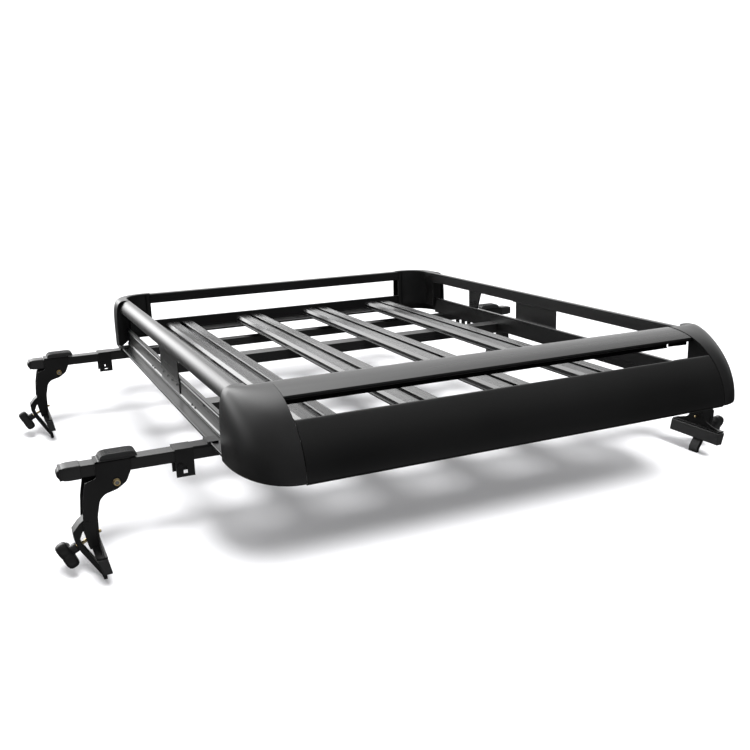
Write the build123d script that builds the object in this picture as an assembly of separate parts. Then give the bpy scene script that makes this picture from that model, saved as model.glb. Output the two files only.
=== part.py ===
"""Roof cargo basket on two crossbars with four gutter feet.

Frame: millimetres, +X across the vehicle, +Y to the rear (the fairing faces -Y), +Z up.
Origin: centre of the footprint, at the height of the four clamp jaw tips.
Basket sizes are measured from the basket's own centre and from the top face of the slats.
"""
import os
from math import cos, pi, sin

from build123d import *

# ---- basket ------------------------------------------------------------------
HALF_WIDTH = 467.0        # centre to the outer edge of a side flange
FRONT_Y = -646.0          # foremost line of the wind fairing
REAR_Y = 627.0            # outer edge of the rear flange
TOP_Z = 82.0              # top of the upper rails
NOSE_TOP = 88.0           # crest of the nose and of the front corner caps
SKIRT_Z = -33.0           # underside of the side and rear flanges
NOSE_DEPTH = 147.0        # fore-and-aft run of the streamlined nose
NOSE_FOOT_Z = -28.0       # height where the nose is vertical
SEAM_X = 394.0            # front corner caps start here, along X
CAP_FRONT_Y = -502.0      # front corner caps end here, along Y
CAP_SIDE_X = 478.0        # outermost edge of a front corner cap
CAP_CUT = 1.05            # how much the front corner is cut in, 1 being an ellipse
CAP_REAR_X = 365.0        # rear corner caps start here, along X
CAP_REAR_Y = 503.0        # rear corner caps start here, along Y
SHELL = 4.0               # wall of the moulded corner caps

SIDE_RAIL_IN = 431.0      # inner face of an upper side rail
SIDE_RAIL_OUT = 456.0
UPPER_RAIL_H = 27.0
REAR_RAIL_IN = 592.0
REAR_RAIL_OUT = 620.0
WEB_IN = 437.0            # inner face of a lower side rail
WEB_T = 6.0
WEB_TOP = 10.0
REAR_WEB_IN = 597.0
FRONT_WEB_Y = -545.0
FRONT_WEB_FOOT = 47.0     # lower edge of the web behind the upper front rail

SLAT_COUNT = 4
SLAT_PITCH = 194.0
SLAT_W = 80.0
SLAT_H = 15.0
SLOT_W = 11.0             # mouth of the T-slot in each slat
SLOT_ROOM = 22.0          # inside width of the T-slot
SLOT_LIP = 2.5            # thickness of the lips over the T-slot
SLAT_FLOOR = 12.0         # depth of the T-slot
SLAT_SCREW_Y = (-520.0, -184.0, 170.0, 539.0)
FRONT_LEDGE = 45.0        # depth of the ledges under the slat ends
REAR_LEDGE = 70.0
WEB_SCREW_Y = -265.0
PLATE_Y = (-78.0, 90.0)   # side plates, front to rear
POST_Y = (250.0, 310.0)   # rear window post, front to rear
REAR_TURN = 52.0          # inner radius of a rear corner
CROSS_Y = {"front": -184.0, "rear": 184.0}
CROSS_W = 42.0
CROSS_H = 23.0

# ---- crossbars ---------------------------------------------------------------
BAR_LENGTH = 1350.0
BAR_W = 30.0
BAR_H = 20.0
BAR_WALL = 2.0
BAR_TOP = -33.0
BAR_Y = {"front": -378.0, "rear": 466.0}
BAR_SHIFT = {"front": -28.0, "rear": -10.0}
CAP_OVER = 1.6            # end cap wall outside the bar
CAP_GRIP = 32.0
CAP_NOSE = 4.0
SADDLE_X = 511.0          # basket saddle, from the basket's centre
SADDLE_W = 30.0
SADDLE_T = 2.5
EAR_DROP = 45.0
SADDLE_BOLT = (519.0, -59.0)

# ---- feet, measured from the crossbar's middle along X -----------------------
LEG_OUT = 641.0           # outer edge of a leg where it meets the bar
LEG_IN = 567.0            # inner end of its ear
SLEEVE_OUT = 622.0        # outer end of the sleeve round the bar
FOOT_OUT = {"front": 0.0, "rear": 19.0}
LEG_TOP = BAR_TOP + 3.0   # top of the leg's bar saddle
EAR_BOLT = (592.0, -67.0) # bolt that closes the ears, along X and Z
PAD_GROOVES = (-10.0, -5.0, 0.0, 5.0, 10.0)
PLATE_T = 2.5
BAR_FIT = 0.3             # gap between the bar and the leg that slides on it
PIVOT = (642.0, -126.0)   # jaw pivot, along X and Z
STUD_AIM = (0.89, -0.455) # clamp bolt direction, outwards and down
STUD_AT = (661.0, -169.0)
STUD_R = 3.0              # clamp bolt
STUD_FIT = 0.05
NUT_AT = 47.0             # back of the nut, inwards along the clamp bolt
KNOB_AT = 9.0             # back of the knob, outwards along the clamp bolt
KNOB_H = 19.0
HUB_H = 9.5
PIN_R = 3.0               # jaw pivot pin
PIN_FIT = 0.08
SHIN_Z = -171.0           # lower end of the shin
FOOT_BASE_Z = -196.0      # underside of the rubber foot
FOOT_LENGTH = 140.0
JAW_W = 24.0
TIP_Z = -229.0

# Frame shift: the two crossbars are staggered, and the footprint is centred on them.
SHIFT_X = -(BAR_SHIFT["front"] + BAR_SHIFT["rear"]) / 2
SHIFT_Y = -(FRONT_Y + REAR_Y) / 2
SHIFT_Z = -TIP_Z
SIDES = {"left": -1, "right": 1}


def place(shape):
    return Pos(SHIFT_X, SHIFT_Y, SHIFT_Z) * shape


def save(name, shape):
    shape.label = name
    export_step(shape, f"parts/{name}.step")


def box(x0, x1, y0, y1, z0, z1):
    """A box between two corners."""
    centre = Pos((x0 + x1) / 2, (y0 + y1) / 2, (z0 + z1) / 2)
    return centre * Box(abs(x1 - x0), abs(y1 - y0), abs(z1 - z0))


def along_y(points, y0, y1):
    """Extrude a closed XZ outline from y0 to y1."""
    face = make_face(Polyline([(x, 0, z) for x, z in points], close=True))
    return Pos(0, y1, 0) * extrude(face, amount=y1 - y0, dir=(0, -1, 0))


def along_x(points, x0, x1):
    """Extrude a closed YZ outline from x0 to x1."""
    face = make_face(Polyline([(0, y, z) for y, z in points], close=True))
    return Pos(x0, 0, 0) * extrude(face, amount=x1 - x0, dir=(1, 0, 0))


def rod(start, end, radius):
    """A round bar between two points."""
    axis = Vector(*end) - Vector(*start)
    return Plane(origin=start, z_dir=axis) * Cylinder(
        radius, axis.length, align=(Align.CENTER, Align.CENTER, Align.MIN))


def mirror_side(side, shape):
    """Shapes are drawn for the right side; the left side is their mirror image."""
    return shape if side == "right" else mirror(shape, about=Plane.YZ)


# ---- basket shell ------------------------------------------------------------
def nose_point(angle, inset=0.0):
    """A point of the elliptical nose: 0 degrees is the foot, 90 the crest."""
    rise = NOSE_TOP - NOSE_FOOT_Z - inset
    run = NOSE_DEPTH - inset
    y = FRONT_Y + NOSE_DEPTH - run * cos(angle)
    return (y, NOSE_FOOT_Z + rise * sin(angle))


def nose_band(start, end, wall, steps):
    """Outline of a strip of the nose between two angles in degrees."""
    angles = [(start + (end - start) * i / steps) * pi / 180 for i in range(steps + 1)]
    outer = [nose_point(a) for a in angles]
    inner = [nose_point(a, wall) for a in reversed(angles)]
    return outer, inner


def wind_fairing():
    """Curved plate between the two front caps, turned under along its foot."""
    outer, inner = nose_band(0, 43, 3.0, 8)
    lip = [(FRONT_Y + 9, NOSE_FOOT_Z - 3), (FRONT_Y + 6, NOSE_FOOT_Z - 5)]
    return along_x(outer + inner + lip, -SEAM_X + 1, SEAM_X - 1)


def top_rail_front():
    """Crest of the nose: a sloping face with a web down its back."""
    outer, inner = nose_band(62, 90, 3.0, 5)
    crest_y = FRONT_Y + NOSE_DEPTH
    web = [(crest_y + 3, NOSE_TOP), (crest_y + 3, FRONT_WEB_FOOT), (crest_y, FRONT_WEB_FOOT)]
    return along_x(outer + web + inner, -SEAM_X + 1, SEAM_X - 1)


def top_rail_rear():
    rail = box(-CAP_REAR_X, CAP_REAR_X, REAR_RAIL_IN, REAR_RAIL_OUT,
               TOP_Z - UPPER_RAIL_H + 1, TOP_Z - 1)
    bore = box(-CAP_REAR_X, CAP_REAR_X, REAR_RAIL_IN + 2, REAR_RAIL_OUT - 2,
               TOP_Z - UPPER_RAIL_H + 3, TOP_Z - 3)
    return rail - bore


def side_rail_outline(inset=0.0):
    """D section: flat inside and below, round outside and above."""
    low = TOP_Z - UPPER_RAIL_H + inset
    inner = SIDE_RAIL_IN + inset
    rise = UPPER_RAIL_H - 2 * inset
    run = SIDE_RAIL_OUT - SIDE_RAIL_IN - 2 * inset
    arc = [(inner + run * sin(a * pi / 20), low + rise * cos(a * pi / 20)) for a in range(1, 11)]
    return [(inner, low), (inner, low + rise)] + arc


def top_rail_side():
    rail = along_y(side_rail_outline(), CAP_FRONT_Y, CAP_REAR_Y)
    return rail - along_y(side_rail_outline(2.0), CAP_FRONT_Y, CAP_REAR_Y)


def lower_rail_side():
    """Web with a thickened top, a bead at its root, and a flange outwards."""
    out = WEB_IN + WEB_T
    outline = [
        (WEB_IN, SKIRT_Z), (WEB_IN, WEB_TOP - 2), (WEB_IN + 2, WEB_TOP), (out - 1, WEB_TOP),
        (out, WEB_TOP - 1), (out, SKIRT_Z + 7), (out + 3, SKIRT_Z + 7), (out + 3, SKIRT_Z + 3),
        (HALF_WIDTH, SKIRT_Z + 3), (HALF_WIDTH, SKIRT_Z),
    ]
    return along_y(outline, CAP_FRONT_Y, CAP_REAR_Y)


def lower_rail_rear():
    """Web with a ledge under the slat ends and a flange outwards."""
    out = REAR_WEB_IN + WEB_T
    ledge = REAR_WEB_IN - REAR_LEDGE
    outline = [
        (REAR_WEB_IN, SKIRT_Z), (REAR_WEB_IN, -SLAT_H - 3), (ledge, -SLAT_H - 3), (ledge, -SLAT_H),
        (REAR_WEB_IN, -SLAT_H), (REAR_WEB_IN, WEB_TOP), (out, WEB_TOP), (out, SKIRT_Z + 3),
        (REAR_Y, SKIRT_Z + 3), (REAR_Y, SKIRT_Z),
    ]
    return along_x(outline, -CAP_REAR_X, CAP_REAR_X)


def lower_rail_front():
    """Web behind the fairing with a ledge under the slat ends and a flange forwards."""
    out = FRONT_WEB_Y - WEB_T
    ledge = FRONT_WEB_Y + FRONT_LEDGE
    edge = FRONT_Y + 12
    outline = [
        (FRONT_WEB_Y, SKIRT_Z), (FRONT_WEB_Y, -SLAT_H - 3), (ledge, -SLAT_H - 3), (ledge, -SLAT_H),
        (FRONT_WEB_Y, -SLAT_H), (FRONT_WEB_Y, 2), (out, 2), (out, SKIRT_Z + 3),
        (edge, SKIRT_Z + 3), (edge, SKIRT_Z),
    ]
    return along_x(outline, -SEAM_X + 1, SEAM_X - 1)


def slat_middle(index):
    return (index - (SLAT_COUNT - 1) / 2) * SLAT_PITCH


def slat(index):
    """Extruded plank with a T-slot along its middle and a foot flange on each side."""
    middle = slat_middle(index)
    half = SLAT_W / 2
    foot = -SLAT_H + 3
    right = [(half - 5, 0), (half - 2, foot), (half, foot), (half, -SLAT_H)]
    left = [(-x, z) for x, z in reversed(right)]
    slot = [(SLOT_W / 2, 0), (SLOT_W / 2, -SLOT_LIP), (SLOT_ROOM / 2, -SLOT_LIP),
            (SLOT_ROOM / 2, -SLAT_FLOOR)]
    slot = [(-x, z) for x, z in slot] + list(reversed(slot))
    body = Pos(middle, 0, 0) * along_y(left + slot + right, FRONT_WEB_Y, REAR_WEB_IN)
    for x0, x1 in ((-half + 8, -SLOT_ROOM / 2 - 2), (SLOT_ROOM / 2 + 2, half - 8)):
        body -= box(middle + x0, middle + x1, -700, 700, -SLAT_H - 1, -SLOT_LIP)
    return body


def cross_member(y):
    low = -SLAT_H - CROSS_H
    outer = box(-WEB_IN, WEB_IN, y - CROSS_W / 2, y + CROSS_W / 2, low, -SLAT_H)
    return outer - box(-WEB_IN, WEB_IN, y - CROSS_W / 2 + 2, y + CROSS_W / 2 - 2,
                       low + 2, -SLAT_H - 2)


def cap_section(inner, outer, low, top):
    """A vertical slice of a corner cap: a quarter ellipse from the crest down to the skirt."""
    away = Vector(*outer) - Vector(*inner)
    depth = away.length
    rise = top - low
    face = Plane(origin=(inner[0], inner[1], low), x_dir=away, z_dir=away.cross(Vector(0, 0, 1)))
    skin = EllipticalCenterArc((0, 0), depth, rise, 0, arc_size=90)
    lining = EllipticalCenterArc((0, 0), depth - SHELL, rise - SHELL, 0, arc_size=90)
    edges = [skin, Line(skin @ 1, lining @ 1), lining, Line(lining @ 0, skin @ 0)]
    return face * make_face(edges)


def arc_path(centre, radius_x, radius_y):
    """A quarter turn in plan, from the X direction round to the Y direction."""
    def at(t):
        return (centre[0] + radius_x * cos(t * pi / 2), centre[1] + radius_y * sin(t * pi / 2))
    return at


def corner_cap(inner_path, outer_path, low, top, steps=6):
    """Loft the cap between its crest line and its skirt line."""
    slices = [cap_section(inner_path(i / steps), outer_path(i / steps), low, top)
              for i in range(steps + 1)]
    return loft(slices)


def corner_front():
    """Cap from the fairing round to the side: tight at the side, drawn out at the front."""
    crest_y = FRONT_Y + NOSE_DEPTH

    def inner(t):
        side = 1 - sin(t * pi / 2)
        return (SIDE_RAIL_IN - (SIDE_RAIL_IN - SEAM_X) * side, CAP_FRONT_Y + (crest_y - CAP_FRONT_Y) * side)

    def outer(t):
        angle = t * pi / 2
        return (SEAM_X + (CAP_SIDE_X - SEAM_X) * sin(angle) ** CAP_CUT,
                CAP_FRONT_Y - (CAP_FRONT_Y - FRONT_Y) * cos(angle) ** CAP_CUT)

    return corner_cap(inner, outer, NOSE_FOOT_Z, NOSE_TOP, 8)


def corner_rear():
    """Rounded rear corner with a straight arm along each rail."""
    turn_x = SIDE_RAIL_IN - REAR_TURN
    turn_y = REAR_RAIL_IN - REAR_TURN
    inner = arc_path((turn_x, turn_y), REAR_TURN, REAR_TURN)
    outer = arc_path((turn_x, turn_y), HALF_WIDTH - turn_x, REAR_Y - turn_y)
    bend = corner_cap(inner, outer, SKIRT_Z, TOP_Z)
    side_arm = loft([cap_section((SIDE_RAIL_IN, y), (HALF_WIDTH, y), SKIRT_Z, TOP_Z)
                     for y in (CAP_REAR_Y, turn_y)])
    rear_arm = loft([cap_section((x, REAR_RAIL_IN), (x, REAR_Y), SKIRT_Z, TOP_Z)
                     for x in (CAP_REAR_X, turn_x)])
    return bend + side_arm + rear_arm


def side_plate():
    """Pressed plate that ties the upper and lower side rails together at mid length."""
    low = TOP_Z - UPPER_RAIL_H
    plate = box(WEB_IN + WEB_T, WEB_IN + WEB_T + 2, PLATE_Y[0], PLATE_Y[1], SKIRT_Z + 8, low)
    foot = box(SIDE_RAIL_IN + 2, WEB_IN + WEB_T + 2, PLATE_Y[0], PLATE_Y[1], low - 2, low)
    return plate + foot


def window_post():
    """Narrow tapered post in the rear window of the right side."""
    face = make_face(Polyline([(0, POST_Y[0] + 18, WEB_TOP), (0, POST_Y[1], WEB_TOP),
                               (0, POST_Y[1], TOP_Z - UPPER_RAIL_H),
                               (0, POST_Y[0], TOP_Z - UPPER_RAIL_H)], close=True))
    return Pos(WEB_IN + 1, 0, 0) * extrude(face, amount=4, dir=(1, 0, 0))


def pan_head(x, y, z, axis, radius=4.0, height=2.0):
    """Head of a small screw or rivet, seated at a point."""
    head = Plane(origin=(x, y, z), z_dir=axis) * Cylinder(
        radius, height, align=(Align.CENTER, Align.CENTER, Align.MIN))
    return head


def side_fasteners():
    """Rivets of the side plates, and the screws through the webs of the side rails."""
    heads = []
    span = PLATE_Y[1] - PLATE_Y[0]
    for side in SIDES.values():
        for i in range(4):
            y = PLATE_Y[0] + span * (i + 0.5) / 4
            heads.append(pan_head(side * (WEB_IN + WEB_T + 2), y, -8, (side, 0, 0), 3.0, 1.4))
        for middle in CROSS_Y.values():
            for y in (middle - 12, middle + 12):
                heads.append(pan_head(side * (WEB_IN + WEB_T), y, -22, (side, 0, 0), 3.5, 1.6))
        heads.append(pan_head(side * (WEB_IN + WEB_T), WEB_SCREW_Y, 0, (side, 0, 0), 3.5, 1.6))
    return Compound(children=heads)


def slat_screws():
    """Screws in the T-slots, into the cross members and the end rails."""
    heads = []
    for index in range(SLAT_COUNT):
        for y in SLAT_SCREW_Y:
            heads.append(pan_head(slat_middle(index), y, -SLAT_FLOOR, (0, 0, 1), 4.5, 3.0))
    return Compound(children=heads)


# ---- crossbars ---------------------------------------------------------------
def bar_middle(end):
    return (BAR_SHIFT[end], BAR_Y[end], BAR_TOP - BAR_H / 2)


def crossbar(end):
    tube = Box(BAR_LENGTH, BAR_W, BAR_H)
    bore = Box(BAR_LENGTH, BAR_W - 2 * BAR_WALL, BAR_H - 2 * BAR_WALL)
    return Pos(*bar_middle(end)) * (tube - bore)


def both_ways(shape, end):
    """The shape at the right end of a crossbar, and its mirror image at the left end."""
    pair = [shape, mirror(shape, about=Plane.YZ)]
    return Compound(children=[Pos(*bar_middle(end)) * each for each in pair])


def end_caps(end):
    """Moulded caps with a round nose over the ends of a crossbar."""
    low = (Align.MIN, Align.CENTER, Align.CENTER)
    grip = Box(CAP_GRIP + CAP_NOSE, BAR_W + 2 * CAP_OVER, BAR_H + 2 * CAP_OVER, align=low)
    grip = fillet(grip.edges().filter_by(Axis.Y).group_by(Axis.X)[-1], 9.0)
    grip -= Box(CAP_GRIP, BAR_W, BAR_H, align=low)
    return both_ways(Pos(BAR_LENGTH / 2 - CAP_GRIP, 0, 0) * grip, end)


def saddle_pair(end):
    """Folded saddles over a crossbar, with slotted ears below and a hook over the side flange."""
    y = BAR_Y[end]
    half = BAR_W / 2
    reach = half + SADDLE_T
    x0 = SADDLE_X - SADDLE_W / 2
    x1 = SADDLE_X + SADDLE_W / 2
    sheet = box(x0, x1, y - reach, y + reach, BAR_TOP - EAR_DROP, BAR_TOP + SADDLE_T)
    sheet -= box(0, 900, y - half, y + half, -300, BAR_TOP)
    sheet -= box(SADDLE_X - 3.5, SADDLE_X + 3.5, y - 50, y + 50, BAR_TOP - 40, BAR_TOP - 28)
    bolt_x, bolt_z = SADDLE_BOLT
    sheet -= rod((bolt_x, y - 50, bolt_z), (bolt_x, y + 50, bolt_z), 3.2)
    edge = HALF_WIDTH + 1
    tongue = box(edge, x0, y - half, y + half, BAR_TOP, BAR_TOP + SADDLE_T)
    riser = box(edge, edge + 4, y - half, y + half, BAR_TOP, BAR_TOP + 6)
    lip = box(edge - 15, edge + 4, y - half, y + half, BAR_TOP + 3, BAR_TOP + 6)
    right = sheet + tongue + riser + lip
    return Compound(children=[right, mirror(right, about=Plane.YZ)])


def hexagon_bar(start, end, radius):
    axis = Vector(*end) - Vector(*start)
    return extrude(Plane(origin=start, z_dir=axis) * RegularPolygon(radius, 6), amount=axis.length)


def cross_bolt(x, y, z, reach, shank, hexagon):
    """Hex bolt along Y, with its nut on the front ear and its head on the rear ear."""
    bolt = rod((x, y - reach - hexagon, z), (x, y + reach, z), shank)
    nut = hexagon_bar((x, y - reach - hexagon * 0.8, z), (x, y - reach, z), hexagon)
    head = hexagon_bar((x, y + reach, z), (x, y + reach + hexagon * 0.7, z), hexagon)
    return bolt + nut + head


def saddle_bolts(end):
    """Bolts through the ears of the saddles, just below the bar."""
    x, z = SADDLE_BOLT
    reach = BAR_W / 2 + SADDLE_T
    return Compound(children=[cross_bolt(side * x, BAR_Y[end], z, reach, 3.0, 5.0)
                              for side in SIDES.values()])


# ---- feet: drawn for the right end of a bar whose middle is the origin -------
def leg_side():
    """Side view of a leg: a sleeve with an ear under the bar, a neck, and a shin that leans."""
    out = LEG_OUT
    outside = [(SLEEVE_OUT, LEG_TOP), (SLEEVE_OUT, -57), (out, -60), (out + 5, -90), (out + 8, -124),
               (out + 7, -150), (out + 2, SHIN_Z)]
    inside = [(out - 13, SHIN_Z), (out - 14, -150), (out - 15, -118), (out - 21, -92), (out - 30, -84)]
    ear = [(out - 48, -78), (out - 60, -68), (out - 68, -54), (LEG_IN, -50), (LEG_IN, LEG_TOP)]
    return outside, inside, ear


def leg():
    """Stamped channel: two side plates, a web towards the vehicle, and a flared base."""
    inner = BAR_W / 2 + BAR_FIT
    outer = inner + PLATE_T
    outside, inside, ear = leg_side()
    channel = along_y(outside + inside + ear, -outer, outer)
    channel -= box(LEG_IN - 5, LEG_OUT + 30, -inner, inner, -300, BAR_TOP + BAR_FIT)
    web = inside + [(x + PLATE_T, z) for x, z in reversed(inside)]
    channel += along_y(web, -inner, inner)
    web_x = LEG_OUT - 14
    reach = FOOT_LENGTH / 2 - 4
    bell = [(-outer, SHIN_Z + 34), (outer, SHIN_Z + 34), (outer + 6, SHIN_Z + 16),
            (reach, SHIN_Z + 3), (reach, SHIN_Z), (-reach, SHIN_Z), (-reach, SHIN_Z + 3),
            (-outer - 6, SHIN_Z + 16)]
    channel += along_x(bell, web_x, web_x + PLATE_T)
    channel += box(web_x - 4, web_x + 13, -reach, reach, SHIN_Z, SHIN_Z + 3)
    pivot_x, pivot_z = PIVOT
    channel -= rod((pivot_x, -30, pivot_z), (pivot_x, 30, pivot_z), PIN_R + PIN_FIT)
    ear_x, ear_z = EAR_BOLT
    channel -= rod((ear_x, -30, ear_z), (ear_x, 30, ear_z), 4.2)
    return channel - rod(stud_point(-60), stud_point(-20), 4.0)


def leg_pad():
    """Ribbed cover on top of the sleeve of a leg."""
    body = box(LEG_IN + 2, SLEEVE_OUT - 2, -15, 15, LEG_TOP, LEG_TOP + 10)
    body = fillet(body.edges().filter_by(Axis.Y).group_by(Axis.Z)[-1], 7.0)
    for y in PAD_GROOVES:
        body -= box(LEG_IN, LEG_OUT, y - 1, y + 1, LEG_TOP + 8.5, LEG_TOP + 20)
    return body


def leg_fasteners():
    """The bolt that closes the ears, and the nut for the clamp bolt."""
    x, z = EAR_BOLT
    ear_bolt = cross_bolt(x, 0, z, BAR_W / 2 + BAR_FIT + PLATE_T, 4.0, 7.0)
    nut = hexagon_bar(stud_point(-NUT_AT), stud_point(-NUT_AT + 5), 7.0)
    nut -= rod(stud_point(-60), stud_point(0), STUD_R + STUD_FIT)
    return Compound(children=[ear_bolt, nut])


def foot_rubber():
    """Rubber foot under the flared base, along the gutter, leaning in like the shin."""
    x = LEG_OUT - 18
    outline = [(x, SHIN_Z), (x + 16, SHIN_Z), (x + 9, FOOT_BASE_Z), (x - 5, FOOT_BASE_Z)]
    return along_y(outline, -FOOT_LENGTH / 2, FOOT_LENGTH / 2)


def jaw():
    """Curved clamp jaw: a cheek at the pivot, a bulge, and a straight blade under the foot."""
    x, z = PIVOT
    outline = [
        (x - 5, z + 4), (x + 1, z + 7), (x + 13, z - 2), (x + 23, z - 14), (x + 22, z - 30),
        (x + 15, z - 48), (x - 13, z - 95), (x - 15, TIP_Z), (x - 21, TIP_Z), (x - 20, z - 92),
        (x - 9, z - 74), (x + 10, z - 42), (x + 14, z - 28), (x + 9, z - 16), (x, z - 8),
        (x - 6, z - 4),
    ]
    plate = along_y(outline, -JAW_W / 2, JAW_W / 2)
    pin_reach = BAR_W / 2 + BAR_FIT + PLATE_T + 1.5
    pin = rod((x, -pin_reach, z), (x, pin_reach, z), PIN_R)
    slot = box(x, x + 40, -4, 4, stud_point(0, -16)[2], stud_point(0, 11)[2])
    return plate + pin - slot


def stud_point(along, across=0.0):
    """A point along the clamp bolt's axis, or moved at right angles to it in the XZ plane."""
    return (STUD_AT[0] + STUD_AIM[0] * along - STUD_AIM[1] * across, 0,
            STUD_AT[1] + STUD_AIM[1] * along + STUD_AIM[0] * across)


def clamp_bolt():
    """Threaded stud from the nut in the leg, through the jaw, into the knob."""
    return rod(stud_point(-NUT_AT - 4), stud_point(KNOB_AT + 8), STUD_R)


def knob():
    """Three-lobed hand knob on a hub, with a blind bore for the stud's end."""
    up = (Align.CENTER, Align.CENTER, Align.MIN)
    body = Cylinder(17, KNOB_H, align=up)
    for i in range(3):
        angle = i * 2 * pi / 3 + pi / 2
        body += Pos(15 * cos(angle), 15 * sin(angle), 0) * Cylinder(9.5, KNOB_H, align=up)
    body += Pos(0, 0, -HUB_H) * Cylinder(8, HUB_H, align=up)
    body -= Pos(0, 0, -HUB_H) * Cylinder(STUD_R + STUD_FIT, HUB_H + 10, align=up)
    return Plane(origin=stud_point(KNOB_AT), z_dir=(STUD_AIM[0], 0, STUD_AIM[1])) * body


FOOT_PIECES = {"leg": leg, "leg_pad": leg_pad, "leg_fasteners": leg_fasteners,
               "foot_rubber": foot_rubber, "jaw": jaw, "clamp_bolt": clamp_bolt, "knob": knob}


def main():
    os.makedirs("parts", exist_ok=True)
    basket = {
        "wind_fairing": wind_fairing(), "top_rail_front": top_rail_front(),
        "top_rail_rear": top_rail_rear(), "lower_rail_front": lower_rail_front(),
        "lower_rail_rear": lower_rail_rear(), "window_post": window_post(),
        "side_fasteners": side_fasteners(), "slat_screws": slat_screws(),
    }
    for side in SIDES:
        basket[f"corner_front_{side}"] = mirror_side(side, corner_front())
        basket[f"corner_rear_{side}"] = mirror_side(side, corner_rear())
        basket[f"top_rail_{side}"] = mirror_side(side, top_rail_side())
        basket[f"lower_rail_{side}"] = mirror_side(side, lower_rail_side())
        basket[f"side_plate_{side}"] = mirror_side(side, side_plate())
    for index in range(SLAT_COUNT):
        basket[f"slat_{index + 1}"] = slat(index)
    for name, y in CROSS_Y.items():
        basket[f"cross_member_{name}"] = cross_member(y)
    for end in BAR_Y:
        basket[f"crossbar_{end}"] = crossbar(end)
        basket[f"end_caps_{end}"] = end_caps(end)
        basket[f"saddles_{end}"] = saddle_pair(end)
        basket[f"saddle_bolts_{end}"] = saddle_bolts(end)
    for name, make in FOOT_PIECES.items():
        piece = make()
        for end in BAR_Y:
            for side in SIDES:
                foot = mirror_side(side, Pos(FOOT_OUT[end], 0, 0) * piece)
                basket[f"{name}_{end}_{side}"] = Pos(BAR_SHIFT[end], BAR_Y[end], 0) * foot
    for name, shape in basket.items():
        save(name, place(shape))


main()
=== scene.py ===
"""Looks of the roof cargo basket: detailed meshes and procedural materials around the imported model."""
from math import cos, pi, radians, sin

import bmesh
import bpy
from mathutils import Matrix, Vector


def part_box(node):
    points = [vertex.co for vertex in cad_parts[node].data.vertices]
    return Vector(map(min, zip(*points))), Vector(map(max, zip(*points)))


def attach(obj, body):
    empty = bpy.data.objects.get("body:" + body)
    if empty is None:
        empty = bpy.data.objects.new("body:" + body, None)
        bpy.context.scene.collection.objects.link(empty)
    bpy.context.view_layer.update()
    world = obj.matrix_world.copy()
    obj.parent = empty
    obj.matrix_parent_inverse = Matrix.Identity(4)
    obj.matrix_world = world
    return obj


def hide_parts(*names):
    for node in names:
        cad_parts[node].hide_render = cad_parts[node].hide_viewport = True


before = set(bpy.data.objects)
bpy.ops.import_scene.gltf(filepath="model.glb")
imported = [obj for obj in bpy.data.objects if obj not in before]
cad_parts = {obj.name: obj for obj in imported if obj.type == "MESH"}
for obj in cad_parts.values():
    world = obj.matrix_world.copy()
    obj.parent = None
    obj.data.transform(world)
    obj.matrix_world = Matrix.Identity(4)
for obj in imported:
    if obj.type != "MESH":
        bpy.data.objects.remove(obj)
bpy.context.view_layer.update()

MM = 0.001
ENDS = ("front", "rear")
SIDES = {"left": -1, "right": 1}


# ---- where things are, in millimetres in the row frame -----------------------
def box_mm(node):
    low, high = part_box(node)
    return low / MM, high / MM


slat_low, slat_high = box_mm("slat_1")
last_high = box_mm("slat_4")[1]
rear_high = box_mm("lower_rail_rear")[1]
REAR_Y = 627.0
ORIGIN = Vector(((slat_low.x + last_high.x) / 2, rear_high.y - REAR_Y, slat_high.z))

# Sizes of the basket, from its centre and from the top of the slats.
FRONT_Y = -646.0
NOSE_DEPTH = 147.0
NOSE_TOP = 88.0
NOSE_FOOT = -28.0
CREST_Y = FRONT_Y + NOSE_DEPTH
SEAM_X = 394.0
CAP_FRONT_Y = -502.0
CAP_SIDE_X = 474.0
CAP_CUT = 0.92
CAP_REAR_X = 365.0
CAP_REAR_Y = 503.0
CAP_STEPS = 28
FRONT_CAP_WALL_FOOT = 50
REAR_CAP_WALL_FOOT = -14
REAR_CAP_SQUARE = 0.4
FAIRING_SWEEP = 44
CREST_START = 66
WEB_FOOT = 47
RAIL_IN = 431.0
RAIL_OUT = 456.0
RAIL_TOP = 82.0
RAIL_H = 27.0
REAR_RAIL_IN = 592.0
REAR_RAIL_OUT = 620.0
REAR_TURN = 52.0
HALF_WIDTH = 467.0
SKIRT_Z = -33.0
FLANGE_Z = SKIRT_Z + 3
LEDGE_LOW = -18
LEDGE_TOP = -15
WEB_IN = 437.0
WEB_OUT = 443.0
SLAT_COUNT = 4
SLAT_PITCH = 194
SLAT_SCREW_ROWS = (-520, -184, 170, 539)
WINDOW_MIDDLES = (-184, 184)
SIDE_PLATE_START = -78
SIDE_PLATE_LENGTH = 168
BAR_Y = {"front": -378.0, "rear": 466.0}
BAR_SHIFT = {"front": -28.0, "rear": -10.0}
FOOT_OUT = {"front": 0.0, "rear": 19.0}
BAR_Z = -43.0
BAR_HALF_DEPTH = 15
BAR_HALF_HEIGHT = 10
BAR_LENGTH = 1350.0
SLEEVE_TOP = -30
SHIN_FOOT = -171
LEG_HALF_DEPTH = 17.8
STEEL = 2.5
BASE_REACH = 66
EAR_BOLT_OUT = 592
EAR_BOLT_Z = -67


# ---- materials ---------------------------------------------------------------
def new_material(name):
    material = bpy.data.materials.new(name)
    material.use_nodes = True
    nodes = material.node_tree.nodes
    return material, nodes, material.node_tree.links, nodes["Principled BSDF"]


def ramp(nodes, links, source, low, high, start=0.3, stop=0.7):
    """A grey or coloured ramp fed by a value."""
    node = nodes.new("ShaderNodeValToRGB")
    node.color_ramp.elements[0].position = start
    node.color_ramp.elements[0].color = low
    node.color_ramp.elements[1].position = stop
    node.color_ramp.elements[1].color = high
    links.new(source, node.inputs["Fac"])
    return node.outputs["Color"]


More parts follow.
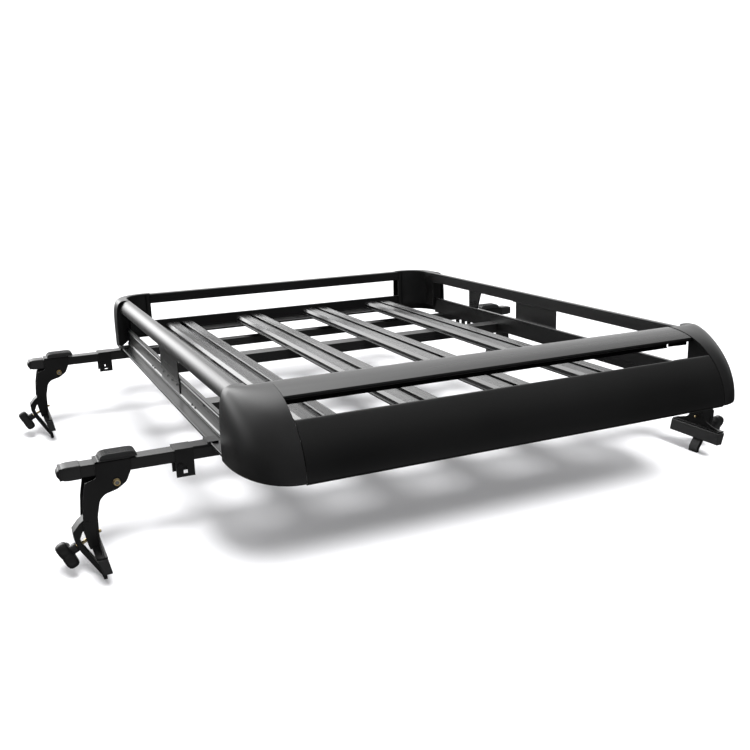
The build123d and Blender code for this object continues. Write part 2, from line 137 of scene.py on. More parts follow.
def noise(nodes, links, scale, stretch=(1, 1, 1), detail=4.0):
    """Noise in object space, stretched along an axis by a small factor."""
    coords = nodes.new("ShaderNodeTexCoord")
    mapping = nodes.new("ShaderNodeMapping")
    mapping.inputs["Scale"].default_value = stretch
    texture = nodes.new("ShaderNodeTexNoise")
    texture.inputs["Scale"].default_value = scale
    texture.inputs["Detail"].default_value = detail
    links.new(coords.outputs["Object"], mapping.inputs["Vector"])
    links.new(mapping.outputs["Vector"], texture.inputs["Vector"])
    return texture.outputs["Fac"]


def bump(nodes, links, shader, height, strength, distance):
    node = nodes.new("ShaderNodeBump")
    node.inputs["Strength"].default_value = strength
    node.inputs["Distance"].default_value = distance
    links.new(height, node.inputs["Height"])
    links.new(node.outputs["Normal"], shader.inputs["Normal"])


def grey(value):
    return (value, value, value * 1.02, 1)


def anodised(name, dark, light, rough, stretch):
    """Black extrusion: fine die lines along its length, and slow changes of tone."""
    material, nodes, links, shader = new_material(name)
    lines = noise(nodes, links, 60, stretch, 6)
    clouds = noise(nodes, links, 5, (1, 1, 1), 2)
    links.new(ramp(nodes, links, clouds, grey(dark), grey(light)), shader.inputs["Base Color"])
    links.new(ramp(nodes, links, lines, grey(rough - 0.05), grey(rough + 0.06)), shader.inputs["Roughness"])
    shader.inputs["Specular IOR Level"].default_value = 0.3
    bump(nodes, links, shader, lines, 0.04, 0.0002)
    return material


def powder(name, dark, light, rough):
    """Satin powder coat on pressed steel, with a fine orange peel."""
    material, nodes, links, shader = new_material(name)
    peel = noise(nodes, links, 900, (1, 1, 1), 3)
    clouds = noise(nodes, links, 14, (1, 1, 1), 3)
    links.new(ramp(nodes, links, clouds, grey(dark), grey(light)), shader.inputs["Base Color"])
    links.new(ramp(nodes, links, clouds, grey(rough - 0.04), grey(rough + 0.06)), shader.inputs["Roughness"])
    shader.inputs["Specular IOR Level"].default_value = 0.2
    bump(nodes, links, shader, peel, 0.1, 0.0002)
    return material


def moulded(name, dark, light, rough):
    """Moulded plastic with a fine grain."""
    material, nodes, links, shader = new_material(name)
    grain = noise(nodes, links, 1600, (1, 1, 1), 2)
    clouds = noise(nodes, links, 9, (1, 1, 1), 3)
    links.new(ramp(nodes, links, clouds, grey(dark), grey(light)), shader.inputs["Base Color"])
    links.new(ramp(nodes, links, clouds, grey(rough - 0.04), grey(rough + 0.05)), shader.inputs["Roughness"])
    shader.inputs["Specular IOR Level"].default_value = 0.24
    bump(nodes, links, shader, grain, 0.18, 0.0001)
    return material


def zinc_plate():
    """Yellow zinc plate: warm metal with a faint green and pink drift."""
    material, nodes, links, shader = new_material("yellow_zinc")
    drift = noise(nodes, links, 160, (1, 1, 1), 3)
    brown = (0.62, 0.42, 0.16, 1)
    straw = (0.86, 0.74, 0.46, 1)
    links.new(ramp(nodes, links, drift, brown, straw), shader.inputs["Base Color"])
    links.new(ramp(nodes, links, drift, grey(0.22), grey(0.36)), shader.inputs["Roughness"])
    shader.inputs["Metallic"].default_value = 1.0
    return material


BLACK = {
    "along_y": anodised("black_extrusion_y", 0.004, 0.007, 0.30, (1, 0.02, 1)),
    "along_x": anodised("black_extrusion_x", 0.003, 0.005, 0.30, (0.02, 1, 1)),
    "slat": anodised("slat_extrusion", 0.012, 0.020, 0.26, (1, 0.02, 1)),
    "fairing": anodised("fairing_paint", 0.002, 0.0035, 0.36, (0.05, 1, 1)),
    "steel": powder("black_powder_coat", 0.002, 0.004, 0.34),
    "cap": moulded("corner_plastic", 0.003, 0.006, 0.33),
    "knob": moulded("knob_plastic", 0.004, 0.008, 0.36),
    "rubber": moulded("pad_rubber", 0.006, 0.010, 0.48),
    # Screw heads are black, but their colour is lightened well above the other blacks as a painted highlight,
    # so the heads show as pale dots.
    "screw": powder("black_screws_painted_highlight", 0.03, 0.05, 0.3),
}
ZINC = zinc_plate()


# ---- mesh helpers ------------------------------------------------------------
def at(x, y, z):
    """A point given from the basket's centre, in millimetres, as metres in the row frame."""
    return (ORIGIN + Vector((x, y, z))) * MM


def add_piece(name, bm, material, body, nodes=(), bevel=0.0, shell=0.0, sharp=35, rims=3):
    """Turn a bmesh into a piece: smooth shading, an optional wall and rounded edges."""
    bmesh.ops.recalc_face_normals(bm, faces=bm.faces)
    mesh = bpy.data.meshes.new(name)
    bm.to_mesh(mesh)
    bm.free()
    mesh.materials.append(material)
    mesh.shade_smooth()
    mesh.set_sharp_from_angle(angle=radians(sharp))
    obj = bpy.data.objects.new(name, mesh)
    bpy.context.scene.collection.objects.link(obj)
    if shell:
        wall = obj.modifiers.new("wall", "SOLIDIFY")
        wall.thickness = shell * MM
        wall.offset = -1
        wall.use_even_offset = True
    if bevel:
        edge = obj.modifiers.new("edge", "BEVEL")
        edge.width = bevel * MM
        edge.segments = rims
        edge.limit_method = "ANGLE"
        edge.angle_limit = radians(sharp)
        edge.harden_normals = True
    normals = obj.modifiers.new("normals", "WEIGHTED_NORMAL")
    normals.keep_sharp = True
    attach(obj, body)
    if nodes:
        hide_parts(*nodes)


def rounded(points, radius, steps=4):
    """Round the corners of a closed outline; each point may carry its own radius as a third value."""
    made = []
    count = len(points)
    for i, point in enumerate(points):
        here = Vector(point[:2])
        before = Vector(points[i - 1][:2]) - here
        after = Vector(points[(i + 1) % count][:2]) - here
        turn = before.angle(after)
        r = point[2] if len(point) > 2 else radius
        reach = min(r / max(abs(sin(turn / 2) / max(cos(turn / 2), 1e-6)), 1e-6), before.length * 0.48,
                    after.length * 0.48)
        if r <= 0 or turn > pi - 0.03:
            made.append(here)
            continue
        a = here + before.normalized() * reach
        b = here + after.normalized() * reach
        for k in range(steps + 1):
            t = k / steps
            made.append(a * (1 - t) ** 2 + here * 2 * t * (1 - t) + b * t ** 2)
    return made


def loft(bm, rings, closed=True, caps=True):
    """Skin a row of rings that have the same number of points."""
    rows = [[bm.verts.new(p) for p in ring] for ring in rings]
    count = len(rows[0])
    last = count if closed else count - 1
    for one, two in zip(rows, rows[1:]):
        for i in range(last):
            j = (i + 1) % count
            bm.faces.new((one[i], one[j], two[j], two[i]))
    if caps and closed:
        bm.faces.new(rows[0])
        bm.faces.new(list(reversed(rows[-1])))


def extrude_y(bm, outline, y0, y1):
    loft(bm, [[at(p[0], y, p[1]) for p in outline] for y in (y0, y1)])


def extrude_x(bm, outline, x0, x1):
    loft(bm, [[at(x, p[0], p[1]) for p in outline] for x in (x0, x1)])


def lathe(bm, centre, axis, profile, segments=28):
    """Turn a profile of (radius, height) pairs about an axis through a point in row-frame metres."""
    axis = Vector(axis).normalized()
    side = axis.orthogonal().normalized()
    other = axis.cross(side)
    rings = []
    for r, h in profile:
        ring = []
        for i in range(segments):
            angle = 2 * pi * i / segments
            spoke = side * cos(angle) + other * sin(angle)
            ring.append(centre + (axis * h + spoke * max(r, 0.02)) * MM)
        rings.append(ring)
    loft(bm, rings)


def softened(node, material, body, bevel=0.8, sharp=38):
    """The CAD node's own form as a clean mesh, with its edges rounded."""
    bm = bmesh.new()
    bm.from_mesh(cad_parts[node].data)
    bmesh.ops.remove_doubles(bm, verts=bm.verts, dist=1e-6)
    bmesh.ops.dissolve_limit(bm, angle_limit=radians(0.6), verts=bm.verts, edges=bm.edges)
    add_piece(f"{node}_shape", bm, material, body, [node], bevel=bevel, sharp=sharp, rims=2)


# ---- rails -------------------------------------------------------------------
def side_rails():
    """D-shaped upper rails: flat inside and below, round above and outside."""
    low = RAIL_TOP - RAIL_H
    run = RAIL_OUT - RAIL_IN
    arc = [(RAIL_IN + 4 + (run - 4) * sin(a * pi / 40), low + 3 + (RAIL_H - 3) * cos(a * pi / 40), 0)
           for a in range(0, 21)]
    outline = rounded([(RAIL_IN, low, 1.5), (RAIL_IN, RAIL_TOP, 4)] + arc + [(RAIL_OUT, low, 2.5)], 1)
    web = [(WEB_IN, SKIRT_Z), (WEB_IN, 6), (WEB_IN - 1, 7.5), (WEB_IN - 1, 10), (WEB_OUT, 10),
           (WEB_OUT, 8, 0.4), (WEB_OUT - 1, 7, 0.4), (WEB_OUT - 1, 5, 0.4), (WEB_OUT, 4, 0.4),
           (WEB_OUT, SKIRT_Z + 11), (WEB_OUT + 2.4, SKIRT_Z + 8.6, 0.8), (WEB_OUT + 2.4, SKIRT_Z + 6, 0.8),
           (WEB_OUT + 1, FLANGE_Z, 0.5), (HALF_WIDTH - 4, FLANGE_Z, 0.5),
           (HALF_WIDTH - 2.6, SKIRT_Z + 5, 1.0), (HALF_WIDTH, SKIRT_Z + 5, 1.0), (HALF_WIDTH, SKIRT_Z, 1)]
    web = rounded(web, 0.8, 3)
    for side, k in SIDES.items():
        for name, shape in (("top", outline), ("lower", web)):
            bm = bmesh.new()
            extrude_y(bm, [(k * p[0], p[1]) for p in shape], CAP_FRONT_Y, CAP_REAR_Y)
            node = f"{name}_rail_{side}"
            add_piece(f"{node}_shape", bm, BLACK["along_y"], "basket", [node])


def end_rails():
    """Rear rail, the webs under both ends, and the crest of the nose."""
    low = RAIL_TOP - RAIL_H + 1
    top = RAIL_TOP - 1
    rear = rounded([(REAR_RAIL_IN, low, 2), (REAR_RAIL_IN, top, 4), (REAR_RAIL_OUT, top, 12),
                    (REAR_RAIL_OUT, low, 3)], 2, 8)
    web = rounded([(597, SKIRT_Z), (597, LEDGE_LOW), (527, LEDGE_LOW), (527, LEDGE_TOP), (597, LEDGE_TOP),
                   (597, 8), (595.5, 10), (603, 10), (603, SKIRT_Z + 10), (606, SKIRT_Z + 8, 1.5),
                   (606, FLANGE_Z, 0.5), (REAR_Y, FLANGE_Z), (REAR_Y, SKIRT_Z)], 0.8, 3)
    front = rounded([(-545, SKIRT_Z), (-545, LEDGE_LOW), (-500, LEDGE_LOW), (-500, LEDGE_TOP),
                     (-545, LEDGE_TOP), (-545, 2), (-551, 2), (-551, FLANGE_Z), (FRONT_Y + 12, FLANGE_Z),
                     (FRONT_Y + 12, SKIRT_Z)], 0.8, 3)
    for node, shape, half in (("top_rail_rear", rear, CAP_REAR_X), ("lower_rail_rear", web, CAP_REAR_X),
                              ("lower_rail_front", front, SEAM_X - 1)):
        bm = bmesh.new()
        extrude_x(bm, shape, -half, half)
        add_piece(f"{node}_shape", bm, BLACK["along_x"], "basket", [node])


# ---- nose --------------------------------------------------------------------
def nose(angle, proud=0.0):
    """A point (y, z) of the elliptical nose: 0 degrees is the foot, 90 the crest."""
    a = radians(angle)
    return (CREST_Y - (NOSE_DEPTH + proud) * cos(a), NOSE_FOOT + (NOSE_TOP - NOSE_FOOT + proud) * sin(a))


def strip(section, half, stations=9):
    """An open strip along X through (y, z) points."""
    bm = bmesh.new()
    xs = [half * (2 * i / (stations - 1) - 1) for i in range(stations)]
    loft(bm, [[at(x, y, z) for y, z in section] for x in xs], closed=False)
    return bm


def fairing():
    """Curved plate with a rolled foot and a turned upper edge."""
    steps = 30
    curve = [nose(i * FAIRING_SWEEP / steps) for i in range(steps + 1)]
    foot = [(FRONT_Y + 7, NOSE_FOOT - 5.5), (FRONT_Y + 3.6, NOSE_FOOT - 5.2),
            (FRONT_Y + 1.2, NOSE_FOOT - 3.2)]
    y, z = curve[-1]
    edge = [(y + 2.2, z + 0.9), (y + 3.6, z + 0.2), (y + 4.4, z - 1.6), (y + 4.6, z - 4)]
    add_piece("wind_fairing_shape", strip(foot + curve + edge, SEAM_X - 1.2), BLACK["fairing"], "basket",
              ["wind_fairing"], shell=2.2, bevel=0.5, sharp=50)


def crest_rail():
    """Upper front rail: a sloping face over a web, with a rolled front edge."""
    y, z = nose(CREST_START)
    lip = [(y + 6, z - 7), (y + 2, z - 6.6), (y + 0.2, z - 4.6), (y - 0.2, z - 2)]
    face = [nose(CREST_START + i * 2) for i in range(12)]
    back = [(CREST_Y + 2, NOSE_TOP - 0.2), (CREST_Y + 3.4, NOSE_TOP - 1.6), (CREST_Y + 3.8, NOSE_TOP - 4),
            (CREST_Y + 3.8, WEB_FOOT + 3), (CREST_Y + 3.0, WEB_FOOT + 0.6), (CREST_Y + 0.5, WEB_FOOT)]
    add_piece("top_rail_front_shape", strip(lip + face + back, SEAM_X - 1.2), BLACK["along_x"], "basket",
              ["top_rail_front"], shell=2.2, bevel=0.5, sharp=50)


# ---- corner caps -------------------------------------------------------------
def cap_section(inner, outer, low, top, wall_foot, square):
    """From the inner edge over the crest and down the round face to a turned rim."""
    inner = Vector(inner)
    away = Vector(outer) - inner
    depth = away.length
    away = away.normalized()
    rise = top - low
    line = [(0, wall_foot), (0, (wall_foot + top) / 2), (0, top - 4), (0.4, top - 1.8), (1.6, top - 0.4)]
    for i in range(1, CAP_STEPS + 1):
        a = pi / 2 * (1 - i / CAP_STEPS)
        line.append((depth * max(cos(a), 0) ** square, low + rise * max(sin(a), 0) ** square))
    line += [(depth - 0.6, low - 2.0), (depth - 2.6, low - 3.2), (depth - 6, low - 3.4)]
    return [at(inner.x + away.x * d, inner.y + away.y * d, z) for d, z in line]


def seam_panel(bm, k):
    """Upright panel that closes the end of a front cap, between the fairing and the upper rail."""
    x = k * (SEAM_X + 1.5)
    edge = [nose(a, -1.5) for a in range(8, 72, 2)]
    rim = edge + [(edge[-1][0], 4), (edge[0][0] + 12, -18)]
    loft(bm, [[at(x + k * t, y, z) for y, z in rim] for t in (0, 2.5)])


def end_panel(bm, ring):
    """Close a rear cap across one of its rings."""
    bm.faces.new([bm.verts.new(p) for p in ring])


def cap_piece(node, pairs, low, top, wall_foot, k, panel=False):
    """A corner cap through (inner, outer, squareness) stations, with its ends closed."""
    bm = bmesh.new()
    rings = [cap_section((k * a[0], a[1]), (k * b[0], b[1]), low, top, wall_foot, square)
             for a, b, square in pairs]
    loft(bm, rings, closed=False)
    if panel:
        seam_panel(bm, k)
    else:
        end_panel(bm, rings[1])
        end_panel(bm, rings[-2])
    add_piece(f"{node}_shape", bm, BLACK["cap"], "basket", [node], shell=3.0, bevel=0.7,
              sharp=60)


def front_caps():
    """Caps that turn from the nose to the side rails and grow squarer on the way."""
    pairs = []
    for i in range(CAP_STEPS + 1):
        t = i / CAP_STEPS
        angle = t * pi / 2
        ease = 1 - sin(angle)
        inner = (RAIL_IN - (RAIL_IN - SEAM_X) * ease, CAP_FRONT_Y + (CREST_Y - CAP_FRONT_Y) * ease)
        outer = (SEAM_X + (CAP_SIDE_X - SEAM_X) * max(sin(angle), 0) ** CAP_CUT,
                 CAP_FRONT_Y - (CAP_FRONT_Y - FRONT_Y) * max(cos(angle), 0) ** CAP_CUT)
        pairs.append((inner, outer, 1 - 0.6 * t ** 3))
    inner, outer, square = pairs[-1]
    pairs.append(((inner[0], inner[1] + 14), (outer[0] - 0.4, outer[1] + 14), square))
    for side, k in SIDES.items():
        cap_piece(f"corner_front_{side}", pairs, NOSE_FOOT, NOSE_TOP + 0.8, FRONT_CAP_WALL_FOOT, k, True)


def rear_caps():
    """Caps that turn from the side rails to the rear rail in a quarter circle."""
    turn_x = RAIL_IN - REAR_TURN
    turn_y = REAR_RAIL_IN - REAR_TURN
    steps = 20
    ends = [((RAIL_IN, y), (HALF_WIDTH, y)) for y in (CAP_REAR_Y - 2, CAP_REAR_Y + 12, turn_y - 3)]
    for i in range(steps + 1):
        a = i / steps * pi / 2
        ends.append(((turn_x + REAR_TURN * cos(a), turn_y + REAR_TURN * sin(a)),
                     (turn_x + (HALF_WIDTH - turn_x) * cos(a), turn_y + (REAR_Y - turn_y) * sin(a))))
    ends += [((x, REAR_RAIL_IN), (x, REAR_Y)) for x in (turn_x - 3, CAP_REAR_X + 8, CAP_REAR_X - 2)]
    pairs = [(inner, outer, REAR_CAP_SQUARE) for inner, outer in ends]
    for side, k in SIDES.items():
        cap_piece(f"corner_rear_{side}", pairs, SKIRT_Z, RAIL_TOP + 1, REAR_CAP_WALL_FOOT, k)


# ---- slats -------------------------------------------------------------------
def slat_outline():
    """Half outline of a plank, from the middle of its slot outwards, round to its foot."""
    half = [(11, -12), (11, -2.6), (5.9, -2.6), (5.9, -0.3), (6.3, 0.35), (7.3, 0.35), (7.7, -0.5), (9, -0.5)]
    x = 9.6
    while x < 29:
        half += [(x, 0), (x + 1.7, 0), (x + 2.0, -0.55), (x + 2.6, -0.55)]
        x += 2.9
    half += [(31.2, 0), (37, -5.2), (37.4, -12.2), (40, -12.4), (40, -15), (33, -15), (33, -3), (13, -3),
             (13, -15)]
    return half


def slats():
    half = slat_outline()
    outline = [(-x, z) for x, z in half] + [(x, z) for x, z in reversed(half)]
    for i in range(SLAT_COUNT):
        node = f"slat_{i + 1}"
        low, high = box_mm(node)
        middle = (low.x + high.x) / 2 - ORIGIN.x
        bm = bmesh.new()
        extrude_y(bm, [(middle + x, z) for x, z in outline], low.y - ORIGIN.y, high.y - ORIGIN.y)
        add_piece(f"{node}_shape", bm, BLACK["slat"], "basket", [node], sharp=20)


# Profiles of a pan-head screw and of a rivet, as (radius, height).
PAN = [(0, 0.5), (1.3, 0.5), (1.5, 1.5), (2.4, 1.7), (3.6, 1.2), (4.2, 0.4), (4.2, -0.5)]
RIVET = [(0, 1.4), (1.6, 1.3), (2.6, 0.8), (3, 0), (3, -0.5)]


def screws():
    """Screws in the slat grooves, and the rivets and screws on the side webs."""
    slat_head = [(r * 1.05, h * 1.6) for r, h in PAN]
    web_head = [(r * 0.85, h * 0.9) for r, h in PAN]
    rivets = 4
    bm = bmesh.new()
    for i in range(SLAT_COUNT):
        x = (i - 1.5) * SLAT_PITCH
        for y in SLAT_SCREW_ROWS:
            lathe(bm, at(x, y, -11), (0, 0, 1), slat_head)
    add_piece("slat_screws_shape", bm, BLACK["screw"], "basket", ["slat_screws"])
    bm = bmesh.new()
    for k in SIDES.values():
        for i in range(rivets):
            y = SIDE_PLATE_START + SIDE_PLATE_LENGTH * (i + 0.5) / rivets
            lathe(bm, at(k * (WEB_OUT + 2), y, -8), (k, 0, 0), RIVET)
        for middle in WINDOW_MIDDLES:
            for y in (middle - 12, middle + 12):
                lathe(bm, at(k * WEB_OUT, y, -22), (k, 0, 0), web_head)
        lathe(bm, at(k * WEB_OUT, -265, 0), (k, 0, 0), web_head)
    add_piece("side_fasteners_shape", bm, BLACK["screw"], "basket", ["side_fasteners"])


# ---- crossbars ---------------------------------------------------------------
CORNERS = ((-1, -1), (-1, 1), (1, 1), (1, -1))
# Stations of a crossbar end cap: distance from the bar's middle, and how far the section has shrunk.
END_CAP = ((643, 1.2), (643.6, 0.2), (645, 0), (662, 0), (668, 0.6), (673, 2.2), (676.4, 4.8), (678.4, 7.8),
           (679, 9.6))


def crossbars():
    """Crossbars with their round-nosed end caps, saddles and saddle bolts."""
    for end in ENDS:
        y = BAR_Y[end]
        x = BAR_SHIFT[end]
        outline = rounded([(y + a * BAR_HALF_DEPTH, BAR_Z + b * BAR_HALF_HEIGHT) for a, b in CORNERS], 2.6, 5)
        bm = bmesh.new()
        extrude_x(bm, outline, x - BAR_LENGTH / 2, x + BAR_LENGTH / 2)
        add_piece(f"crossbar_{end}_shape", bm, BLACK["along_x"], "basket", [f"crossbar_{end}"])
        bm = bmesh.new()
        for k in SIDES.values():
            rings = []
            for u, shrink in END_CAP:
                grow = 1.6 - shrink
                corners = [(y + a * (BAR_HALF_DEPTH + grow), BAR_Z + b * (BAR_HALF_HEIGHT + grow))
                           for a, b in CORNERS]
                ring = rounded(corners, max(4.5 - shrink * 0.3, 1.5), 6)
                rings.append([at(x + k * u, p[0], p[1]) for p in ring])
            loft(bm, rings)
        add_piece(f"end_caps_{end}_shape", bm, BLACK["knob"], "basket", [f"end_caps_{end}"],
                  sharp=55)
        softened(f"saddles_{end}", BLACK["steel"], "basket", 0.9)
        softened(f"saddle_bolts_{end}", BLACK["steel"], "basket", 0.5, 50)


# ---- feet --------------------------------------------------------------------
# Where the clamp bolt leaves the jaw, and which way it points on the right-hand feet.
AIM = Vector((0.89, 0, -0.455)).normalized()
STUD = (661, 0, -169)
# Stations of a hand knob: height along its axis, and how far the outline is drawn in.
KNOB = ((0, 7.5), (0.4, 4.6), (1.6, 2.2), (4.0, 0.5), (7.5, 0), (11, 0), (14.6, 0.8), (17.2, 2.8),
        (18.6, 5.6), (19.0, 9.0), (18.4, 12.0))
# Stations of a pad: distance from the bar's middle, and height above the sleeve.
PAD = ((556.5, 2.0), (557.2, 5.0), (559.5, 7.6), (563, 9.0), (570, 9.6), (602, 9.6), (609, 8.6), (612.6, 6.6),
       (614.2, 4.2), (614.8, 2.0))


def foot_point(end, k, u, y, z):
    """A point of a foot: u outwards from the crossbar's middle, y along the vehicle."""
    return at(k * (u + FOOT_OUT[end]) + BAR_SHIFT[end], BAR_Y[end] + y, z)


def knob_radius(angle):
    """Three round lobes with flutes between them."""
    return 21.0 + 5.0 * cos(3 * angle)


def knob_piece(end, side, k):
    """Three-lobed hand knob and the threaded clamp bolt that it drives."""
    tag = f"{end}_{side}"
    facets = 72
    axis = Vector((k * AIM.x, 0, AIM.z))
    up = Vector((0, 1, 0))
    other = axis.cross(up)
    start = foot_point(end, k, *STUD) + axis * 9 * MM
    bm = bmesh.new()
    rings = []
    for h, inset in KNOB:
        ring = []
        for i in range(facets):
            a = 2 * pi * i / facets
            r = knob_radius(a) - inset
            ring.append(start + (axis * h + (up * cos(a) + other * sin(a)) * r) * MM)
        rings.append(ring)
    loft(bm, rings)
    lathe(bm, start, axis, [(7.2, -9.5), (8, -8.8), (8, -1), (9.5, 0.6)], 32)
    add_piece(f"knob_{tag}_shape", bm, BLACK["knob"], f"knob_{tag}", [f"knob_{tag}"],
              sharp=50)
    bm = bmesh.new()
    profile = []
    h = -35.0
    while h < 3:
        profile += [(3.0, h), (2.55, h + 0.6)]
        h += 1.2
    lathe(bm, foot_point(end, k, *STUD), axis, profile, 20)
    add_piece(f"clamp_bolt_{tag}_shape", bm, ZINC, f"clamp_bolt_{tag}", [f"clamp_bolt_{tag}"],
              sharp=80)


def ear_hardware(end, side, k):
    """Washers and nuts of the ear bolt, the bolt head on the web and the clamp bolt's nut."""
    tag = f"{end}_{side}"
    bm = bmesh.new()
    for way in (-1, 1):
        seat = foot_point(end, k, EAR_BOLT_OUT, way * LEG_HALF_DEPTH, EAR_BOLT_Z)
        lathe(bm, seat, (0, way, 0), [(6.2, -0.4), (6.2, 1.0), (5.8, 1.5), (4, 1.5)], 32)
        lathe(bm, seat, (0, way, 0), [(5.6, 1.4), (5.6, 4.4), (5.0, 5.0), (3.1, 5.0), (3.1, 3.6)], 24)
    lathe(bm, foot_point(end, k, 626, 0, -150), (-k, 0, 0), [(0, 4.5), (2.2, 4.5), (2.8, 3.8), (2.8, 0)], 6)
    nut = foot_point(end, k, *STUD) - Vector((k * AIM.x, 0, AIM.z)) * 34 * MM
    lathe(bm, nut, (k * AIM.x, 0, AIM.z), [(6.4, 0), (7, 0.6), (7, 4.4), (6.4, 5)], 6)
    add_piece(f"leg_fasteners_{tag}_shape", bm, ZINC, f"leg_{tag}", [f"leg_fasteners_{tag}"],
              bevel=0.3)
    bm = bmesh.new()
    for way in (-1, 1):
        seat = foot_point(end, k, EAR_BOLT_OUT, way * LEG_HALF_DEPTH, EAR_BOLT_Z)
        lathe(bm, seat, (0, way, 0), [(3.0, 0), (3.0, 4.6), (2.4, 5.2), (0, 5.2)], 24)
    add_piece(f"ear_bolt_ends_{tag}", bm, BLACK["screw"], f"leg_{tag}")


def foot_prism(bm, end, k, outline, y0, y1):
    """Extrude a (u, z) outline of a foot along the vehicle."""
    loft(bm, [[foot_point(end, k, p[0], y, p[1]) for p in outline] for y in (y0, y1)])


def leg_piece(end, side, k):
    """Pressed channel with a round ear, a leaning shin and a flared base."""
    inner = 567
    outer = 622
    half = LEG_HALF_DEPTH
    foot = SHIN_FOOT
    reach = BASE_REACH
    outside = [(outer, SLEEVE_TOP, 2), (outer, -57, 7), (640, -61, 6), (646, -90, 40), (649, -124, 60),
               (648, -150, 40), (643, foot, 3)]
    inside = [(628, foot, 3), (627, -150, 40), (626, -118, 40), (620, -92, 16), (611, -84, 14)]
    ear = [(592, -79, 18), (577, -69, 16), (570, -54, 10), (inner, -46, 4), (inner, SLEEVE_TOP, 2)]
    outline = rounded(outside + inside + ear, 4, 6)
    bm = bmesh.new()
    for y in (-half, half - STEEL):
        foot_prism(bm, end, k, outline, y, y + STEEL)
    web = rounded(inside + [(p[0] + STEEL, p[1], p[2]) for p in reversed(inside)], 1, 6)
    foot_prism(bm, end, k, web, STEEL - half, half - STEEL)
    sleeve = [(inner, SLEEVE_TOP - 2.7), (inner, SLEEVE_TOP), (outer, SLEEVE_TOP), (outer, SLEEVE_TOP - 2.7)]
    foot_prism(bm, end, k, sleeve, -half, half)
    bell = rounded([(-half, foot + 34), (half, foot + 34), (24, foot + 16, 16), (reach, foot + 3, 2),
                    (reach, foot), (-reach, foot), (-reach, foot + 3, 2), (-24, foot + 16, 16)], 1, 5)
    loft(bm, [[foot_point(end, k, u, p[0], p[1]) for p in bell] for u in (627, 627 + STEEL)])
    foot_prism(bm, end, k, [(623, foot), (623, foot + 3), (640, foot + 3), (640, foot)], -reach, reach)
    tag = f"{end}_{side}"
    add_piece(f"leg_{tag}_shape", bm, BLACK["steel"], f"leg_{tag}", [f"leg_{tag}"],
              bevel=0.7, sharp=40, rims=2)


def pad_piece(end, side, k):
    """Ribbed pad over the sleeve, with a thin rim plate under it that stops short of the saddle."""
    tag = f"{end}_{side}"
    half = 16.2
    bm = bmesh.new()
    rings = []
    for u, height in PAD:
        top = SLEEVE_TOP + height
        edge = top - height * 0.35
        brow = top - height * 0.1
        groove = top - height * 0.09
        section = [(-half, SLEEVE_TOP), (-half, edge), (-15.2, brow), (-13.6, top)]
        y = -12.6
        while y < 12.5:
            section += [(y, top), (y + 0.7, groove), (y + 1.6, groove), (y + 2.3, top)]
            y += 3.2
        section += [(13.6, top), (15.2, brow), (half, edge), (half, SLEEVE_TOP)]
        rings.append([foot_point(end, k, u, p[0], p[1]) for p in section])
    loft(bm, rings)
    add_piece(f"leg_pad_{tag}_shape", bm, BLACK["rubber"], f"leg_{tag}", [f"leg_pad_{tag}"],
              sharp=40)
    bm = bmesh.new()
    low = SLEEVE_TOP - 1.4
    high = SLEEVE_TOP + 0.6
    foot_prism(bm, end, k, [(568, low), (568, high), (617, high), (617, low)], -18.4, 18.4)
    add_piece(f"leg_rim_{tag}", bm, BLACK["along_x"], f"leg_{tag}", bevel=0.7)


def feet():
    for end in ENDS:
        for side, k in SIDES.items():
            tag = f"{end}_{side}"
            body = f"leg_{tag}"
            leg_piece(end, side, k)
            pad_piece(end, side, k)
            softened(f"foot_rubber_{tag}", BLACK["rubber"], body, 2.0)
            softened(f"jaw_{tag}", BLACK["steel"], f"jaw_{tag}", 1.0)
            knob_piece(end, side, k)
            ear_hardware(end, side, k)


def small_plates():
    """Members under the slats, and the plates and post between the side rails."""
    for node in ("cross_member_front", "cross_member_rear", "window_post", "side_plate_left",
                 "side_plate_right"):
        softened(node, BLACK["along_x"] if "cross" in node else BLACK["along_y"], "basket", 0.8)


side_rails()
end_rails()
fairing()
crest_rail()
front_caps()
rear_caps()
slats()
screws()
crossbars()
feet()
small_plates()


# ---- stage -------------------------------------------------------------------
def look_along(yaw, pitch, roll):
    """Rotation of a camera that looks along +Y, turned by yaw to the right and tipped down by pitch."""
    turn = Matrix.Rotation(-yaw, 3, "Z") @ Matrix.Rotation(pi / 2 - pitch, 3, "X")
    return (turn @ Matrix.Rotation(roll, 3, "Z")).to_4x4()


def camera(place, yaw, pitch, roll, lens, shift):
    """The view of the photograph; angles are in degrees."""
    data = bpy.data.cameras.new("camera")
    data.sensor_width = 36
    data.lens = lens
    data.shift_x, data.shift_y = shift
    data.clip_end = 200
    obj = bpy.data.objects.new("camera", data)
    bpy.context.scene.collection.objects.link(obj)
    aim = look_along(radians(yaw), radians(pitch), radians(roll))
    obj.matrix_world = Matrix.Translation(place) @ aim
    bpy.context.scene.camera = obj


def sun(name, travel, strength, spread):
    """A distant light; travel is the way its rays go."""
    data = bpy.data.lights.new(name, "SUN")
    data.energy = strength
    data.angle = radians(spread)
    light = bpy.data.objects.new(name, data)
    bpy.context.scene.collection.objects.link(light)
    light.matrix_world = Vector(travel).to_track_quat("-Z", "Y").to_matrix().to_4x4()
    light.visible_glossy = False


def floor():
    """Pale floor, left out of the reflections."""
    mesh = bpy.data.meshes.new("floor")
    half = 30.0
    corners = [(a * half, b * half, 0) for a, b in ((-1, -1), (1, -1), (1, 1), (-1, 1))]
    mesh.from_pydata(corners, [], [(0, 1, 2, 3)])
    obj = bpy.data.objects.new("floor", mesh)
    bpy.context.scene.collection.objects.link(obj)
    material, nodes, links, shader = new_material("floor")
    links.new(ramp(nodes, links, noise(nodes, links, 3), grey(0.9), grey(0.92)), shader.inputs["Base Color"])
    shader.inputs["Roughness"].default_value = 0.9
    shader.inputs["Specular IOR Level"].default_value = 0.1
    mesh.materials.append(material)
    obj.visible_glossy = False


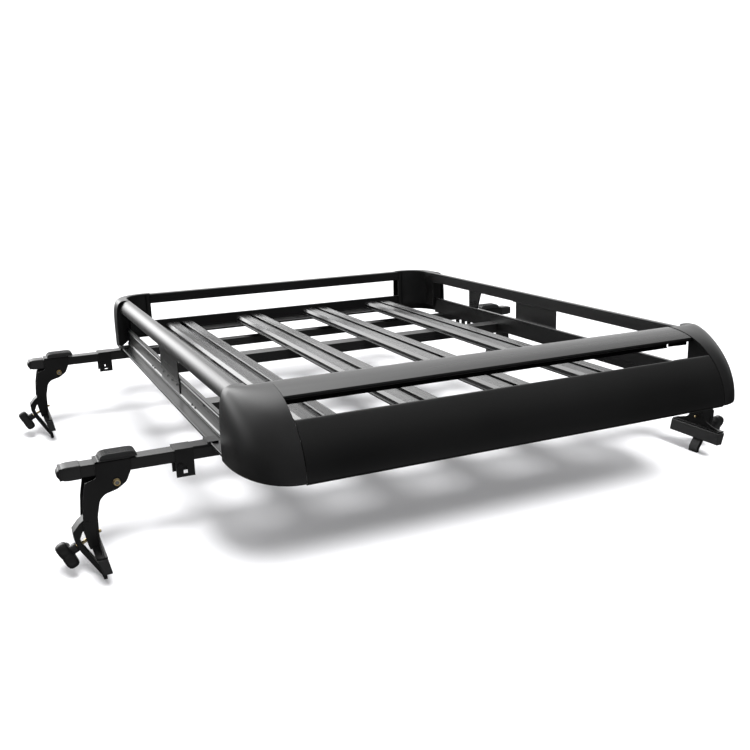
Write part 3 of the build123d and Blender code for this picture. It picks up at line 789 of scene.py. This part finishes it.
def studio_world():
    """White to the camera, an even dome for soft light, and a softbox behind left in the reflections."""
    world = bpy.data.worlds.new("studio")
    world.use_nodes = True
    nodes = world.node_tree.nodes
    links = world.node_tree.links
    coords = nodes.new("ShaderNodeTexCoord")
    split = nodes.new("ShaderNodeSeparateXYZ")
    links.new(coords.outputs["Generated"], split.inputs[0])

    def lift(value, low, high, bottom, top):
        node = nodes.new("ShaderNodeMapRange")
        node.interpolation_type = "SMOOTHSTEP"
        for name, number in (("From Min", low), ("From Max", high), ("To Min", bottom), ("To Max", top)):
            node.inputs[name].default_value = number
        links.new(value, node.inputs["Value"])
        return node.outputs["Result"]

    def combine(operation, one, two):
        node = nodes.new("ShaderNodeMath")
        node.operation = operation
        links.new(one, node.inputs[0])
        links.new(two, node.inputs[1])
        return node.outputs[0]

    def add(one, two):
        return combine("ADD", one, two)

    def times(one, two):
        return combine("MULTIPLY", one, two)

    def light(strength, value=None):
        node = nodes.new("ShaderNodeBackground")
        node.inputs["Strength"].default_value = strength
        node.inputs["Color"].default_value = (1, 1, 1, 1)
        if value is not None:
            links.new(value, node.inputs["Color"])
        return node.outputs[0]

    def choose(factor, one, two):
        node = nodes.new("ShaderNodeMixShader")
        links.new(factor, node.inputs[0])
        links.new(one, node.inputs[1])
        links.new(two, node.inputs[2])
        return node.outputs[0]

    x, y, z = (split.outputs[name] for name in "XYZ")
    softbox = times(times(lift(x, -0.26, 0.08, 6.0, 0.0), lift(y, 0.2, 0.8, 0, 1)),
                    lift(z, 0.05, 0.2, 0, 1))
    overhead = times(times(lift(x, -0.1, 0.6, 8.0, 0.3), lift(y, 0.1, 0.5, 0, 1)),
                     lift(z, 0.5, 0.8, 0, 1))
    back = times(lift(y, 0.0, 0.75, 0.10, 1.6), lift(z, -0.05, 0.05, 0.1, 1))
    left = times(lift(x, -0.95, -0.5, 0.25, 0.0), lift(z, 0.1, 0.5, 0, 1))
    above = lift(z, 0.35, 0.9, 0.0, 0.45)
    ground = times(lift(z, -0.5, -0.05, 0.55, 0.0), lift(y, -0.9, -0.4, 1, 0))
    reflected = light(1.0, add(add(add(softbox, overhead), add(back, left)), add(above, ground)))
    dome = light(0.72)
    backdrop = light(1.15)
    path = nodes.new("ShaderNodeLightPath")
    seen = choose(path.outputs["Is Glossy Ray"], dome, reflected)
    seen = choose(path.outputs["Is Camera Ray"], seen, backdrop)
    links.new(seen, nodes["World Output"].inputs["Surface"])
    world.cycles.sampling_method = "NONE"
    bpy.context.scene.world = world


camera(place=(-0.770, -1.7505, 0.647), yaw=24.58, pitch=14.45, roll=-1.72, lens=42.55,
       shift=(-0.0037, 0.0108))
sun("key", travel=(0.05, 0.98, -1.0), strength=4.4, spread=17)
floor()
studio_world()
bpy.context.scene.view_settings.view_transform = "Standard"
